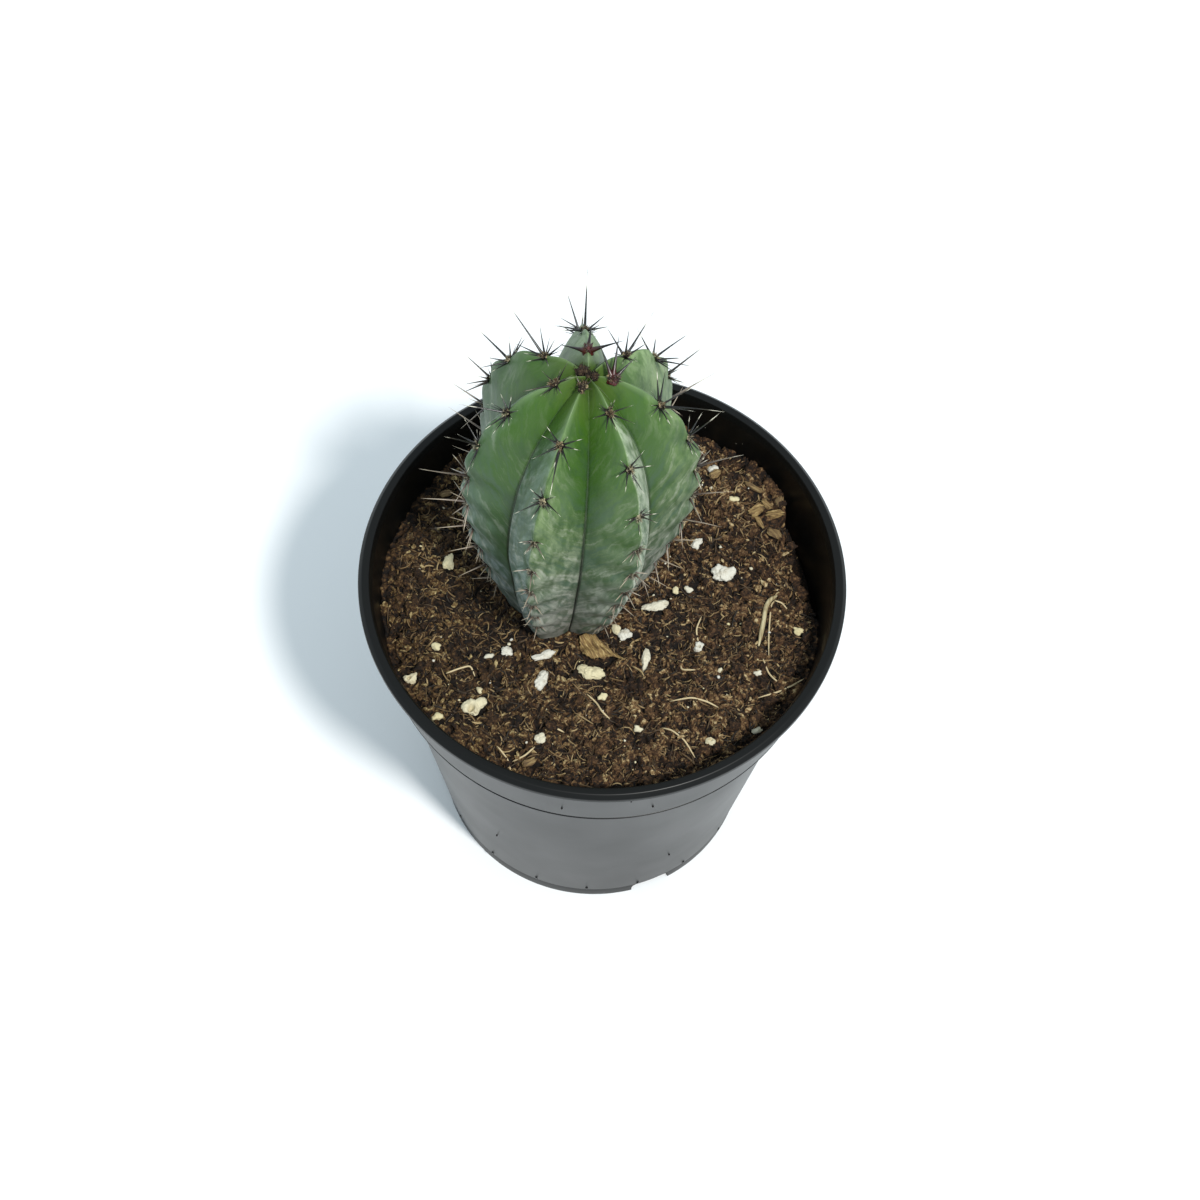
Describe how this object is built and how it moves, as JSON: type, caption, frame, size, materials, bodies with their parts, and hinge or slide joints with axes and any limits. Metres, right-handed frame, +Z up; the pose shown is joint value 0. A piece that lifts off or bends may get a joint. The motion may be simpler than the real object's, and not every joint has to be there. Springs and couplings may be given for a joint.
{
  "type": "potted neocardenasia herzogiana",
  "caption": "Young ribbed columnar cactus with scalloped ribs and spines, standing in soil with perlite in a round tapered plastic nursery pot.",
  "frame": {"origin": "centre of the pot's foot, on the surface that the pot stands on", "axes": "+Z up along the pot's axis; -Y is the front, the side that the picture looks at from above"},
  "size_m": [0.105, 0.105, 0.1725],
  "materials": {
    "pot_plastic": "moulded black polypropylene, satin",
    "soil": "crumbly brown peat and coir mix, matte",
    "cactus_skin": "waxy green skin with a grey-green bloom, satin",
    "perlite": "white to cream expanded mineral grains, matte",
    "bark": "dry tan bark, matte",
    "straw": "dry straw, satin"
  },
  "bodies": {
    "root": {"nursery_pot": "pot_plastic", "potting_soil": "soil", "cactus": "cactus_skin", "perlite_01": "perlite", "perlite_02": "perlite", "perlite_03": "perlite", "perlite_04": "perlite", "perlite_05": "perlite", "perlite_06": "perlite", "perlite_07": "perlite", "perlite_08": "perlite", "perlite_09": "perlite", "perlite_10": "perlite", "perlite_11": "perlite", "perlite_12": "perlite", "perlite_13": "perlite", "perlite_14": "perlite", "perlite_15": "perlite", "perlite_16": "perlite", "perlite_17": "perlite", "perlite_18": "perlite", "bark_flake": "bark", "bark_chip_01": "bark", "bark_chip_02": "bark", "straw": "straw"}
  },
  "joints": []
}
